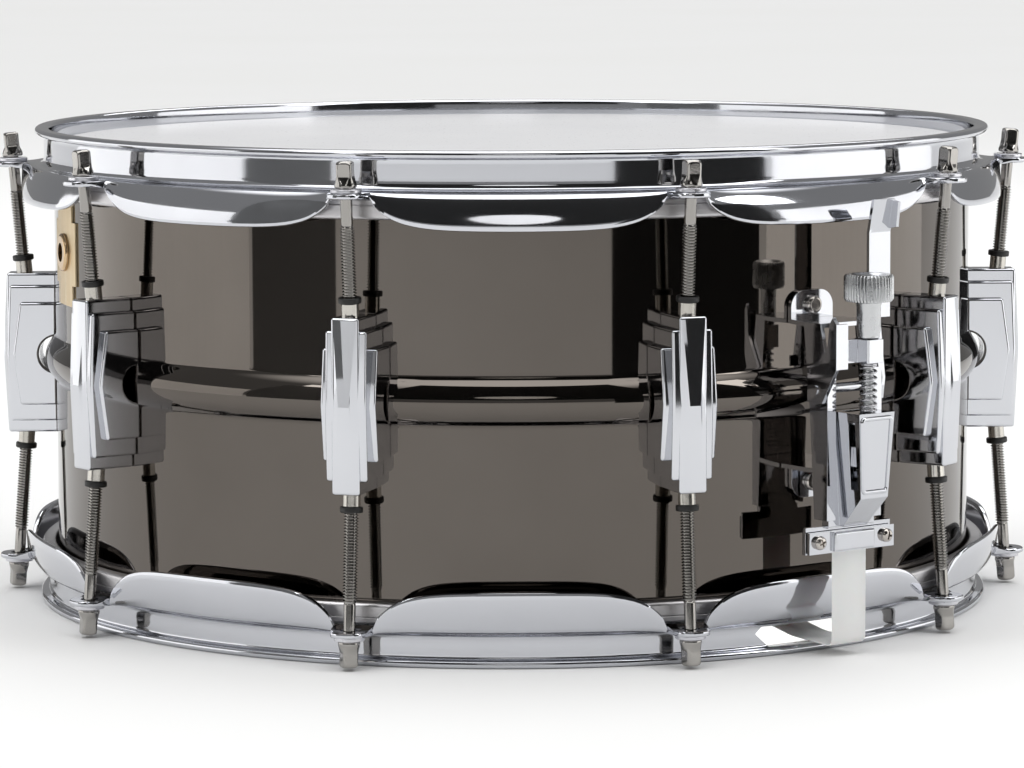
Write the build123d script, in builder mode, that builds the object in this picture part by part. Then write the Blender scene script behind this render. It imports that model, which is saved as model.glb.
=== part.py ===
from build123d import *
from math import atan2, cos, radians, sin
import os

# A 14 x 6.5 inch snare drum. +Z is up and the drum stands on the rim of its bottom hoop at z = 0.
# Azimuth 0 is the front, at -Y, and azimuths grow towards +X. Everything that repeats round the
# drum, and the strainer and the butt too, is drawn at azimuth 0 and turned to its place.

# ---- driving dimensions, mm ----
shell_radius = 177.8
shell_depth = 165.1
shell_wall = 1.2
middle = 93.6                 # height of the shell's centre bead
lug_count = 10
first_lug = 18.0              # azimuth of the first lug, degrees
badge_azimuth = -72.0
strainer_azimuth = 36.0
butt_azimuth = strainer_azimuth - 180

bead_height = 4.2             # how far the centre bead stands proud
bead_half = 8.5
edge_turn = 5.0               # size of the turned-in bearing edge

rim_radius = 185.0            # outside of both hoops' rims
hoop_wall_radius = 181.5      # outside of the hoops' upright walls
hoop_sheet = 2.2
lobe_radius = 190.3
batter_lobe_drop = 12.8       # a lobe's edge below the ears
snare_lobe_drop = 15.4        # a lobe's edge above the ears
ear_hole_radius = 194.2       # circle of the ear holes
ear_end = 6.8                 # radius of an ear's round end
batter_ears = middle + 74.6   # upper face of the batter hoop's ears
batter_rim = 14.3             # from the ears to the rim's face
snare_ears = middle - 81.3    # lower face of the snare-side hoop's ears
snare_rim = snare_ears        # the bottom rim's face is z = 0

film = 0.35
flesh_inner = 178.9
flesh_outer = 184.0
flesh_height = 7.6
flesh_gap = 2.45              # from the ears' face to the flesh hoop, through the flange

rod_reach = 57.0              # rod length under the collar
rod_shank = 2.15              # radius
rod_thread = 2.6              # radius
thread_start = 12.5           # length of plain shank under the collar
head_side = 5.6
head_height = 9.3
collar_radius = 3.9
collar_height = 1.3
washer_radius = 5.5
washer_height = 1.5
rod_lift = 0.45               # the splayed collar rests on its edge
nut_circle = 190.0            # the rods' axes pass here...
nut_level = 26.0              # ...this far above and below the middle

lug_half = 31.2               # half-height of a lug
nut_radius = 3.15
nut_show = 4.6                # how far a swivel nut stands out of its lug
ring_radius = 4.1
ring_height = 2.2
ring_bore = 2.85
nut_bore = 2.9
lug_screw_level = 15.9

knob_axis = 210.2             # the strainer's adjusting screw, from the drum's axis
knob_radius = 8.85
clamp_level = middle - 51.0
strap_width = 16.0
strap_thick = 0.6
strap_plane = 200.0           # where the strap hangs outside the hoop
strap_bottom = middle - 89.6
strap_top = middle - 46.8

wire_count = 20
wire_spacing = 2.6
wire_radius = 1.0
wire_half = 146.0
wire_level = middle - 84.3
end_plate_width = 56.0
end_plate_depth = 12.0

os.makedirs("parts", exist_ok=True)


def save(part, name):
    part.label = name
    export_step(part, f"parts/{name}.step")


def facing(azimuth):
    """The upright plane through the drum's axis that looks outwards: x is along the shell, y is up."""
    angle = radians(azimuth)
    return Plane(
        origin=(0, 0, 0),
        x_dir=(cos(angle), sin(angle), 0),
        z_dir=(sin(angle), -cos(angle), 0),
    )


def block(width, depths, heights):
    """A box at azimuth 0: width or (from, to) along the shell, depths from the drum's axis, heights."""
    sides = width if isinstance(width, tuple) else (-width / 2, width / 2)
    with BuildPart() as made:
        with BuildSketch(Plane.XY.offset(heights[0])):
            with Locations((sum(sides) / 2, -sum(depths) / 2)):
                Rectangle(sides[1] - sides[0], depths[1] - depths[0])
        extrude(amount=heights[1] - heights[0])
    return made.part


def turned(points):
    """A solid of revolution about the drum's axis from a closed outline of (radius, height) points."""
    with BuildPart() as made:
        with BuildSketch(Plane.XZ):
            with BuildLine():
                Polyline(*points, close=True)
            make_face()
        revolve(axis=Axis.Z)
    return made.part


def drilled(azimuth, levels, radius):
    """Radial cutters through the shell's wall at one azimuth."""
    with BuildPart() as made:
        with BuildSketch(facing(azimuth).offset(shell_radius - 12)):
            with Locations(*[(0, level) for level in levels]):
                Circle(radius)
        extrude(amount=24)
    return made.part


# ---- shell: one sheet with a centre bead and turned-in edges ----
shell_top = middle + shell_depth / 2
shell_bottom = middle - shell_depth / 2
vent_level = middle + 43.5
strainer_screws = (middle + 31.2, middle - 32.6)
butt_screws = (middle - 42.0, middle - 62.0)

with BuildPart() as shell:
    with BuildSketch(Plane.XZ):
        for skin in (0, shell_wall):
            turn = shell_radius - edge_turn
            with BuildLine():
                outline = Polyline(
                    (shell_radius - skin, middle - bead_half),
                    (shell_radius - skin, shell_bottom + 1 + skin / 2),
                    (shell_radius - 1 - skin / 2, shell_bottom + skin * 1.4),
                    (turn, shell_bottom + edge_turn - 1 + skin * 1.4),
                    (150, shell_bottom + edge_turn - 1 + skin * 1.4),
                    (150, shell_top - edge_turn + 1 - skin * 1.4),
                    (turn, shell_top - edge_turn + 1 - skin * 1.4),
                    (shell_radius - 1 - skin / 2, shell_top - skin * 1.4),
                    (shell_radius - skin, shell_top - 1 - skin / 2),
                    (shell_radius - skin, middle + bead_half),
                )
                Spline(
                    outline @ 1,
                    (shell_radius + bead_height - skin, middle),
                    outline @ 0,
                    tangents=((0, -1), (0, -1)),
                )
            make_face(mode=Mode.SUBTRACT if skin else Mode.ADD)
        with Locations(((150 + turn) / 2, middle)):
            Rectangle(turn - 150, shell_depth, mode=Mode.SUBTRACT)
    revolve(axis=Axis.Z)
    for number in range(lug_count):
        around = first_lug + number * 360 / lug_count
        add(
            drilled(around, (middle + lug_screw_level, middle - lug_screw_level), 2.6),
            mode=Mode.SUBTRACT,
        )
    add(drilled(badge_azimuth, (vent_level,), 5.0), mode=Mode.SUBTRACT)
    add(drilled(strainer_azimuth, strainer_screws, 2.2), mode=Mode.SUBTRACT)
    add(drilled(butt_azimuth, butt_screws, 2.2), mode=Mode.SUBTRACT)
save(shell.part, "shell")

# ---- badge and its vent grommet ----
badge_tall = 40.0
badge_wide = 30.0
badge_neck = 22.0
badge_thick = 0.8
grommet_flange = 7.2
grommet_bore = 3.6
grommet_proud = 1.6

with BuildPart() as badge_flat:
    with BuildSketch(facing(0).offset(shell_radius - 8)):
        with Locations((0, vent_level)):
            Rectangle(badge_neck, badge_tall)
            Rectangle(badge_wide, badge_tall * 0.6)
            Circle(5.05, mode=Mode.SUBTRACT)
    extrude(amount=16)
with BuildPart() as badge:
    add(
        turned(
            [
                (shell_radius, vent_level - 30),
                (shell_radius + badge_thick, vent_level - 30),
                (shell_radius + badge_thick, vent_level + 30),
                (shell_radius, vent_level + 30),
            ]
        )
    )
    add(badge_flat.part, mode=Mode.INTERSECT)
with BuildPart() as grommet:
    with BuildSketch(facing(0).offset(shell_radius + badge_thick)):
        with Locations((0, vent_level)):
            Circle(grommet_flange)
    extrude(amount=grommet_proud)
    fillet(grommet.faces().sort_by(Axis.Y)[0].edges(), radius=1.2)
    with BuildSketch(facing(0).offset(shell_radius - shell_wall - 1)):
        with Locations((0, vent_level)):
            Circle(4.95)
    extrude(amount=badge_thick + shell_wall + 1.5)
    with BuildSketch(facing(0).offset(shell_radius - 8)):
        with Locations((0, vent_level)):
            Circle(grommet_bore)
    extrude(amount=16, mode=Mode.SUBTRACT)
with BuildPart() as badge_placed:
    add(badge.part, rotation=(0, 0, badge_azimuth))
save(badge_placed.part, "badge")
with BuildPart() as grommet_placed:
    add(grommet.part, rotation=(0, 0, badge_azimuth))
save(grommet_placed.part, "vent_grommet")


# ---- hoops: rolled rim, upright wall, ten lobes and ten ears ----
def hoop_solid(ears, up, rim_rise, lobe_drop, gates):
    """up is 1 where the rim is above the ears and -1 where it is below; ears is their outer face."""
    with BuildPart() as hoop:
        with BuildSketch(Plane.XZ):
            for skin in (0, hoop_sheet):
                with BuildLine():
                    FilletPolyline(
                        (lobe_radius - skin, ears - up * lobe_drop),
                        (lobe_radius - 0.5 - skin, ears - up * (3.2 + 0.3 * skin)),
                        (lobe_radius - 4.8 - 0.4 * skin, ears + up * (0.6 - skin)),
                        (hoop_wall_radius - skin, ears + up * (2.2 - skin)),
                        (hoop_wall_radius - skin, ears + up * (rim_rise - 1)),
                        (170, ears + up * (rim_rise - 1)),
                        (170, ears - up * lobe_drop),
                        radius=0.9,
                        close=True,
                    )
                make_face(mode=Mode.SUBTRACT if skin else Mode.ADD)
            with Locations((172, ears)):
                Rectangle(14.4, 60, mode=Mode.SUBTRACT)
            with Locations(((rim_radius + 179.3) / 2, ears + up * (rim_rise - 1.4))):
                RectangleRounded(rim_radius - 179.3, 2.8, 1.35)
        revolve(axis=Axis.Z)
        with BuildSketch(
            *[facing(first_lug + 36 * number).offset(186.6) for number in range(lug_count)]
        ):
            with BuildLine():
                wave = Spline(
                    (-59, ears - up * (lobe_drop + 0.4)),
                    (-30, ears - up * (lobe_drop * 0.83)),
                    (-17, ears - up * (lobe_drop * 0.5)),
                    (-8.5, ears - up * 2.6),
                    (0, ears - up * 2.3),
                    (8.5, ears - up * 2.6),
                    (17, ears - up * (lobe_drop * 0.5)),
                    (30, ears - up * (lobe_drop * 0.83)),
                    (59, ears - up * (lobe_drop + 0.4)),
                )
                Polyline(wave @ 1, (59, ears - up * 20), (-59, ears - up * 20), wave @ 0)
            make_face()
        extrude(amount=10, mode=Mode.SUBTRACT)
        with BuildSketch(Plane.XY.offset(ears)):
            with PolarLocations(0, lug_count, start_angle=first_lug - 90):
                Polygon(
                    (180.2, -11),
                    (186, -9),
                    (ear_hole_radius, -ear_end),
                    (ear_hole_radius, ear_end),
                    (186, 9),
                    (180.2, 11),
                    align=None,
                )
                with Locations((ear_hole_radius, 0)):
                    Circle(ear_end)
        extrude(amount=-up * hoop_sheet)
        with BuildSketch(Plane.XY.offset(ears + 5)):
            with PolarLocations(ear_hole_radius, lug_count, start_angle=first_lug - 90):
                Circle(3.4)
        extrude(amount=-10, mode=Mode.SUBTRACT)
        for azimuth in gates:
            with BuildSketch(facing(azimuth).offset(170)):
                with BuildLine():
                    Polyline(
                        (-23, ears + up * 2.3),
                        (23, ears + up * 2.3),
                        (26, ears + up * 4.2),
                        (20, ears + up * 9.0),
                        (-20, ears + up * 9.0),
                        (-26, ears + up * 4.2),
                        close=True,
                    )
                make_face()
            extrude(amount=25, mode=Mode.SUBTRACT)
    return hoop.part


def ring(inner, outer, low, high):
    return turned([(inner, low), (outer, low), (outer, high), (inner, high)])


batter_hoop = hoop_solid(batter_ears, 1, batter_rim, batter_lobe_drop, ())
save(batter_hoop, "batter_hoop")
snare_hoop = hoop_solid(
    snare_ears, -1, snare_rim, snare_lobe_drop, (strainer_azimuth, butt_azimuth)
)
save(snare_hoop, "snare_hoop")

batter_flesh_top = batter_ears - flesh_gap
snare_flesh_bottom = snare_ears + flesh_gap
collar_inner = shell_radius + 0.15   # each head's collar belongs to its flesh hoop
collar_outer = collar_inner + film
collar_root = 2.0                    # how deep the collar's foot sits in the flesh hoop
with BuildPart() as batter_flesh:
    add(ring(flesh_inner, flesh_outer, batter_flesh_top - flesh_height, batter_flesh_top))
    fillet(batter_flesh.edges().group_by(Axis.Z)[0], radius=1.2)
    add(ring(collar_inner, flesh_inner + 0.1, batter_flesh_top - collar_root, batter_flesh_top))
    add(ring(collar_inner, collar_outer, batter_flesh_top - collar_root, shell_top))
save(batter_flesh.part, "batter_flesh_hoop")
with BuildPart() as snare_flesh:
    add(ring(flesh_inner, flesh_outer, snare_flesh_bottom, snare_flesh_bottom + flesh_height))
    fillet(snare_flesh.edges().group_by(Axis.Z)[-1], radius=1.2)
    add(ring(collar_inner, flesh_inner + 0.1, snare_flesh_bottom, snare_flesh_bottom + collar_root))
    add(ring(collar_inner, collar_outer, shell_bottom, snare_flesh_bottom + collar_root))
save(snare_flesh.part, "snare_flesh_hoop")

# ---- heads: a flat film on each bearing edge, inside its collar ----
film_radius = shell_radius - 0.2
film_lift = 0.05
with BuildPart() as batter_film:
    with BuildSketch(Plane.XY.offset(shell_top + film_lift)):
        Circle(film_radius)
    extrude(amount=film)
save(batter_film.part, "batter_film")
with BuildPart() as snare_film:
    with BuildSketch(Plane.XY.offset(shell_bottom - film_lift)):
        Circle(film_radius)
    extrude(amount=-film)
save(snare_film.part, "snare_film")


# ---- tension rods, washers, rings and swivel nuts on their splayed axes ----
def rod_plane(ears, up):
    """At azimuth 0: origin on the ear's face, z pointing out of the drum along the rod's axis."""
    along = Vector(0, nut_circle - ear_hole_radius, ears - middle - up * nut_level)
    return Plane(origin=(0, -ear_hole_radius, ears), x_dir=(1, 0, 0), z_dir=along)


def rod_solid(ears, up):
    base = rod_plane(ears, up)
    under = washer_height + rod_lift
    along = Axis(base.origin, base.z_dir)
    with BuildPart() as rod:
        with BuildSketch(base.offset(under - rod_reach)):
            Circle(rod_thread)
        extrude(amount=rod_reach - thread_start)
        chamfer(rod.faces().sort_by(along)[0].edges(), length=0.8)
        with BuildSketch(base.offset(under - thread_start)):
            Circle(rod_shank)
        extrude(amount=thread_start)
        with BuildSketch(base.offset(under)):
            Circle(collar_radius)
        extrude(amount=collar_height)
        with BuildSketch(base.offset(under + collar_height)):
            Circle(collar_radius - 0.3)
        with BuildSketch(base.offset(under + collar_height + 2.4)):
            Circle(head_side / 2)
        loft()
        with BuildSketch(base.offset(under + collar_height)):
            RectangleRounded(head_side, head_side, 0.8)
        extrude(amount=head_height - collar_height)
        chamfer(rod.faces().sort_by(along)[-1].edges(), length=0.5)
    return rod.part


def disc(base, level, height, radius, bore):
    with BuildPart() as made:
        with BuildSketch(base.offset(level)):
            Circle(radius)
            Circle(bore, mode=Mode.SUBTRACT)
        extrude(amount=height)
    return made.part


def all_round(part):
    """The same piece at each of the lugs, as one group of separate solids."""
    with BuildPart() as group:
        with PolarLocations(0, lug_count, start_angle=first_lug):
            add(part)
    return group.part


sides = {"batter": (batter_ears, 1), "snare": (snare_ears, -1)}
nuts = []
rings = []
for side, (ears, up) in sides.items():
    rod = rod_solid(ears, up)
    for number in range(lug_count):
        with BuildPart() as placed:
            add(rod, rotation=(0, 0, first_lug + 36 * number))
        save(placed.part, f"{side}_rod_{number + 1:02d}")
    flat = Plane(origin=(0, -ear_hole_radius, ears), z_dir=(0, 0, up))
    save(all_round(disc(flat, 0, washer_height, washer_radius, 2.9)), f"{side}_washers")
    base = rod_plane(ears, up)
    reach = abs(ears - middle) - lug_half
    slope = cos(atan2(ear_hole_radius - nut_circle, abs(ears - middle) - nut_level))
    nut_top = -(reach - nut_show) / slope
    with BuildPart() as nut:
        add(disc(base, nut_top - 15, 15, nut_radius, nut_bore))
        add(disc(base, nut_top - 14.6, 3.0, 4.2, nut_bore))
    nuts.append(nut.part)
    rings.append(disc(base, nut_top + 0.02, ring_height, ring_radius, ring_bore))

with BuildPart() as swivel_nuts:
    for nut in nuts:
        add(all_round(nut))
save(swivel_nuts.part, "swivel_nuts")
with BuildPart() as nylon_rings:
    for nylon in rings:
        add(all_round(nylon))
save(nylon_rings.part, "nylon_rings")


# ---- lugs: hollow castings of three stepped layers, with a faceted front ----
def layer_half(half_width, half_height, end_radius, middle_radius, up, ridge=None):
    """Half a layer, from the drum's middle to its end: the front slopes and may narrow to a ridge."""
    ridge = ridge or half_width
    root = shell_radius - 4
    with BuildPart() as made:
        with BuildSketch(Plane.XY.offset(middle)):
            Polygon(
                (-half_width, -root),
                (-half_width, -(middle_radius - (half_width - ridge) * 0.55)),
                (-ridge, -middle_radius),
                (ridge, -middle_radius),
                (half_width, -(middle_radius - (half_width - ridge) * 0.55)),
                (half_width, -root),
                align=None,
            )
        with BuildSketch(Plane.XY.offset(middle + up * half_height)):
            Polygon(
                (-half_width, -root),
                (-half_width, -(end_radius - 0.05)),
                (-half_width + 0.2, -end_radius),
                (half_width - 0.2, -end_radius),
                (half_width, -(end_radius - 0.05)),
                (half_width, -root),
                align=None,
            )
        loft(ruled=True)
    return made.part


with BuildPart() as lug:
    for up in (1, -1):
        add(layer_half(5.15, lug_half, 197.0, 198.8, up, ridge=2.0))
        add(layer_half(7.6, 26.5, 195.9, 197.0, up, ridge=7.4))
        add(layer_half(10.2, 20.0, 191.7, 194.5, up, ridge=10.0))
    with BuildSketch(Plane.XY.offset(middle - 40)):
        Circle(shell_radius + 0.1)
    extrude(amount=80, mode=Mode.SUBTRACT)
    add(block(17.6, (176, 190), (middle - 18.4, middle + 18.4)), mode=Mode.SUBTRACT)
    add(block(12.8, (176, 194.2), (middle - 25, middle + 25)), mode=Mode.SUBTRACT)
    add(block(7.6, (176, 195.4), (middle - 29.6, middle + 29.6)), mode=Mode.SUBTRACT)
    for level in (middle - lug_screw_level, middle + lug_screw_level):
        add(block(18, (shell_radius + 0.1, 184.5), (level - 3.6, level + 3.6)))
    add(drilled(0, (middle - lug_screw_level, middle + lug_screw_level), 2.45), mode=Mode.SUBTRACT)
    with BuildSketch(Plane.YZ.offset(-12)):
        with Locations((-shell_radius, middle)):
            Circle(6.9)
    extrude(amount=24, mode=Mode.SUBTRACT)
    for ears, up in sides.values():
        with BuildSketch(rod_plane(ears, up).offset(-62)):
            Circle(nut_radius + 0.15)
        extrude(amount=40, mode=Mode.SUBTRACT)
for number in range(lug_count):
    with BuildPart() as placed:
        add(lug.part, rotation=(0, 0, first_lug + 36 * number))
    save(placed.part, f"lug_{number + 1:02d}")

spring_circle = 189.45
spring_level = 20.5
with BuildPart() as lug_springs:
    spring_axis = Plane(origin=(0, -spring_circle, middle))
    add(all_round(disc(spring_axis, -spring_level, 2 * spring_level, 3.7, 3.1)))
save(lug_springs.part, "lug_springs")


def screw_solid(level, seat, tip, outward, head, shank, head_rise):
    """A pan-head screw at azimuth 0 whose head stands outward (1) or inward (-1) of its seat."""
    with BuildPart() as screw:
        with BuildSketch(facing(0).offset(seat)):
            with Locations((0, level)):
                Circle(head)
        extrude(amount=outward * head_rise)
        ends = screw.faces().filter_by(Axis.Y).sort_by(Axis.Y)
        fillet(ends[0 if outward > 0 else -1].edges(), radius=head_rise * 0.6)
        with BuildSketch(facing(0).offset(seat)):
            with Locations((0, level)):
                Circle(shank)
        extrude(amount=tip - seat)
    return screw.part


inner_wall = 176.35           # flat pieces inside the shell stop here
with BuildPart() as lug_screw_pair:
    for level in (middle - lug_screw_level, middle + lug_screw_level):
        add(screw_solid(level, inner_wall - 1.4, 184.0, -1, 3.6, 2.35, 2.2))
        add(disc(Plane(origin=(0, -inner_wall, level), z_dir=(0, 1, 0)), 0, 1.35, 5.2, 2.4))
save(all_round(lug_screw_pair.part), "lug_screws")

# ---- strainer, drawn at azimuth 0 and turned to its place ----
ear_face = shell_radius + 0.1
ear_thick = 1.8
channel_half = 12.7           # outside of the channel's side walls
channel_wall = 1.5
channel_front = 203.0
channel_top = middle + 10.0
channel_foot = middle - 43.5
slot_half = 8.7               # half-width of the channel's front slot
pivot_radius = 198.0          # the lever's axle, from the drum's axis
pivot_level = middle + 3.1
axle_radius = 1.8
shelf_top = middle + 26.5
arm_level = middle - 27.0


def side_plate(side, thickness, outline):
    """An upright plate seen from the side: outline is (distance from the drum's axis, height)."""
    with BuildPart() as made:
        with BuildSketch(Plane.YZ.offset(side)):
            Polygon(*[(-out, level) for out, level in outline], align=None)
        extrude(amount=thickness)
    return made.part


with BuildPart() as strainer_base:
    for low, high, half in (
        (shelf_top - 0.2, middle + 36.5, 9.8),
        (middle - 38.3, arm_level + 0.2, 9.2),
    ):
        with BuildSketch(facing(0).offset(ear_face)):
            with Locations((0, (low + high) / 2)):
                Rectangle(2 * half, high - low)
        extrude(amount=ear_thick)
    corners = strainer_base.edges().filter_by(Axis.Y)
    fillet(corners.group_by(Axis.Z)[-1] + corners.group_by(Axis.Z)[0], radius=6.0)
    with BuildSketch(Plane.XY.offset(shelf_top - 1.6)):
        Polygon(
            (-9.8, -ear_face),
            (-12.7, -190),
            (-channel_half, -199),
            (12.4, -199),
            (12.4, -190),
            (9.8, -ear_face),
            align=None,
        )
    extrude(amount=1.6)
    add(block(2 * channel_half, (ear_face, 198), (arm_level, arm_level + 1.6)))
    for side in (-channel_half, channel_half - channel_wall):
        add(
            side_plate(
                side,
                channel_wall,
                [
                    (190, shelf_top - 1),
                    (199, shelf_top - 1),
                    (channel_front, channel_top),
                    (channel_front, channel_foot),
                    (196, channel_foot),
                    (193, channel_top - 10),
                ],
            )
        )
    for side in ((-channel_half, -slot_half), (slot_half, channel_half)):
        add(block(side, (channel_front - 1.2, channel_front), (channel_foot, channel_top)))
    add(drilled(0, strainer_screws, 2.2), mode=Mode.SUBTRACT)
    with BuildSketch(Plane.YZ.offset(-20)):
        with Locations((-pivot_radius, pivot_level)):
            Circle(axle_radius + 0.08)
    extrude(amount=40, mode=Mode.SUBTRACT)

lever_wall = 13.0             # inside of the lever's arms
lever_thick = 1.4
blade_inner = 9.5             # the blade stands beside the knob
blade_outer = 19.5
blade_face = 199.6
blade_thick = 1.4
bend_level = middle + 58.0
tip_level = middle + 69.6

with BuildPart() as lever:
    for side, outline in (
        (
            -lever_wall - lever_thick,
            [
                (194, middle - 1.5),
                (202, middle - 1.5),
                (209.5, middle + 11),
                (209.5, middle + 27),
                (207.5, middle + 29.5),
                (205.8, middle + 27),
                (204.5, middle + 18),
                (194, middle + 8),
            ],
        ),
        (
            lever_wall,
            [
                (194, middle - 1.5),
                (202, middle - 1.5),
                (203, middle + 6),
                (blade_face, middle + 31),
                (blade_face - blade_thick, middle + 31),
                (194, middle + 12),
            ],
        ),
    ):
        add(side_plate(side, lever_thick, outline))
    add(block((-lever_wall - lever_thick, -8.9), (208.1, 209.5), (middle + 11, middle + 27)))
    add(
        block(
            (blade_inner, blade_outer),
            (blade_face - blade_thick, blade_face),
            (middle + 27.2, bend_level),
        )
    )
    add(
        side_plate(
            blade_inner,
            blade_outer - blade_inner,
            [
                (blade_face - blade_thick, bend_level - 0.4),
                (blade_face, bend_level - 0.4),
                (blade_face + 2.6, tip_level),
                (blade_face + 2.6 - blade_thick, tip_level),
            ],
        )
    )
    add(
        side_plate(
            blade_outer - 1.2,
            1.2,
            [
                (blade_face - 1, bend_level + 0.6),
                (blade_face + 4.4, bend_level + 1.6),
                (blade_face + 5.4, tip_level - 1.2),
                (blade_face + 1.8, tip_level - 0.4),
            ],
        )
    )
    with BuildSketch(Plane.YZ.offset(-lever_wall - lever_thick - 0.4)):
        with Locations((-pivot_radius, pivot_level)):
            Circle(axle_radius)
    extrude(amount=2 * (lever_wall + lever_thick + 0.4))

block_foot = middle + 13.0
block_top = middle + 21.3
with BuildPart() as strainer_block:
    add(block(7.6, (205, 214.3), (block_foot, block_top)))
    chamfer(strainer_block.edges().filter_by(Axis.Z), length=0.5)
    add(block((-8.6, 0), (206.4, 208.8), (block_foot, block_top)))
    with BuildSketch(Plane.XY.offset(block_foot)):
        with Locations((0, -knob_axis)):
            Circle(2.1)
    extrude(amount=20, mode=Mode.SUBTRACT)

knob_foot = middle + 34.6
knob_top = middle + 44.3
screw_tip = middle - 28.0
with BuildPart() as knob:
    for level, height, radius in (
        (screw_tip, knob_foot - screw_tip, 2.0),
        (block_top + 0.05, knob_foot - block_top - 0.05, 4.3),
        (knob_foot, knob_top - knob_foot, knob_radius),
    ):
        with BuildSketch(Plane.XY.offset(level)):
            with Locations((0, -knob_axis)):
                Circle(radius)
        extrude(amount=height)
    chamfer(knob.faces().sort_by(Axis.Z)[-1].edges(), length=0.6)
    with BuildSketch(Plane.XY.offset(knob_foot)):
        with Locations((0, -knob_axis)):
            with PolarLocations(knob_radius + 0.35, 36):
                Circle(0.62)
    extrude(amount=knob_top - knob_foot, mode=Mode.SUBTRACT)

slider_top = middle - 4.7
slider_foot = middle - 46.0
slider_front = 215.0
spring_foot = slider_top + 0.2
with BuildPart() as slider:
    with BuildSketch(Plane.YZ.offset(-8.2)):
        Polygon(
            *[
                (-out, level)
                for out, level in (
                    (199.5, slider_top),
                    (slider_front, slider_top),
                    (slider_front - 1.2, middle - 35),
                    (channel_front + 0.6, slider_foot),
                    (199.5, slider_foot),
                )
            ],
            align=None,
        )
    extrude(amount=16.4)
    with BuildSketch(facing(0).offset(195)):
        for side in (-1, 1):
            Polygon(
                (side * 8.3, slider_top + 1),
                (side * 8.3, slider_foot - 1),
                (side * 5.6, slider_foot - 1),
                align=None,
            )
    extrude(amount=25, mode=Mode.SUBTRACT)
    add(block((-10.7, 10.7), (199.5, channel_front - 1.4), (slider_foot, slider_top - 1.5)))
    add(block(10.6, (channel_front - 1.4, 213.4), (middle - 33, slider_top + 1)), mode=Mode.SUBTRACT)
    add(block((-9, 0), (208.6, 212.2), (middle - 32, middle - 8)), mode=Mode.SUBTRACT)
    for low, high in ((middle - 9, slider_top), (middle - 24, middle - 17)):
        add(block(10.6, (206, 213.4), (low, high)))
    add(block(39.8, (198, 199.8), (middle - 55.4, slider_foot + 0.2)))
    add(block(21.4, (198, 201.4), (slider_foot - 0.6, slider_foot + 2)))
    with BuildSketch(Plane.XY.offset(middle - 30)):
        with Locations((0, -knob_axis)):
            Circle(2.1)
    extrude(amount=30, mode=Mode.SUBTRACT)

clamp_screw_side = 15.6       # from the strap's middle to each clamp screw
clamp_bar = 1.3               # thickness of a clamp bar's flat ends


def clamp_solid(face, level):
    """A clamp bar with a raised middle over the strap, from a flat face outwards."""
    with BuildPart() as clamp:
        add(block(39.8, (face, face + clamp_bar), (level - 4.2, level + 3.6)))
        add(block(18.6, (face + 1.2, face + 3.2), (level - 3.6, level + 3.2)))
        fillet(clamp.faces().sort_by(Axis.Y)[0].edges(), radius=0.8)
        with BuildSketch(facing(0).offset(face - 1)):
            with Locations((-clamp_screw_side, level), (clamp_screw_side, level)):
                Circle(1.6)
        extrude(amount=4, mode=Mode.SUBTRACT)
    return clamp.part


def clamp_screws_solid(face, level):
    with BuildPart() as screws:
        with BuildSketch(facing(0).offset(face + clamp_bar)):
            with Locations((-clamp_screw_side, level), (clamp_screw_side, level)):
                Circle(2.5)
        extrude(amount=2.4)
        fillet(screws.edges().filter_by(GeomType.CIRCLE).group_by(Axis.Y)[0], radius=1.2)
        with BuildSketch(facing(0).offset(face)):
            with Locations((-clamp_screw_side, level), (clamp_screw_side, level)):
                Circle(1.5)
        extrude(amount=clamp_bar)
    return screws.part


with BuildPart() as spring:
    with BuildSketch(Plane.XY.offset(spring_foot)):
        with Locations((0, -knob_axis)):
            Circle(3.2)
            Circle(2.3, mode=Mode.SUBTRACT)
    extrude(amount=block_foot - 0.1 - spring_foot)


def strap_solid(plane, top):
    """The plastic strap from the snares' end plate, through the hoop's gate, and up to its clamp."""
    plate = wire_half + 2
    with BuildPart() as strap:
        with BuildSketch(Plane.YZ.offset(-strap_width / 2)):
            with BuildLine():
                FilletPolyline(
                    (-plate, middle - 85.6),
                    (-plate - 14, middle - 85.6),
                    (-178, strap_bottom + 0.9),
                    (-plane, strap_bottom),
                    (-plane, top),
                    radius=2.0,
                )
                offset(amount=strap_thick, side=Side.LEFT)
            make_face()
        extrude(amount=strap_width)
    return strap.part


strainer_clamp_face = strap_plane + strap_thick + 0.1
strainer_parts = {
    "strainer_base": strainer_base.part,
    "strainer_lever": lever.part,
    "strainer_block": strainer_block.part,
    "strainer_knob": knob.part,
    "strainer_slider": slider.part,
    "strap_clamp": clamp_solid(strainer_clamp_face, clamp_level),
    "strap_clamp_screws": clamp_screws_solid(strainer_clamp_face, clamp_level),
    "strainer_spring": spring.part,
    "strainer_strap": strap_solid(strap_plane, strap_top),
}
for name, part in strainer_parts.items():
    with BuildPart() as placed:
        add(part, rotation=(0, 0, strainer_azimuth))
    save(placed.part, name)

# ---- butt end, opposite the strainer ----
butt_face = 191.7
butt_clamp_face = butt_face + strap_thick + 0.3
with BuildPart() as butt_plate:
    with BuildSketch(facing(0).offset(ear_face)):
        with Locations((0, middle - 52)):
            RectangleRounded(26, 33, 5)
    extrude(amount=2.2)
    add(block(22, (ear_face + 1, butt_face), (middle - 57, middle - 47)))
    add(block(39.8, (butt_face - 2.4, butt_face), (middle - 55.4, middle - 46.8)))
    add(drilled(0, butt_screws, 2.2), mode=Mode.SUBTRACT)
butt_parts = {
    "butt_plate": butt_plate.part,
    "butt_clamp": clamp_solid(butt_clamp_face, clamp_level),
    "butt_strap": strap_solid(butt_face + 0.15, strap_top),
}
for name, part in butt_parts.items():
    with BuildPart() as placed:
        add(part, rotation=(0, 0, butt_azimuth))
    save(placed.part, name)


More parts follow.
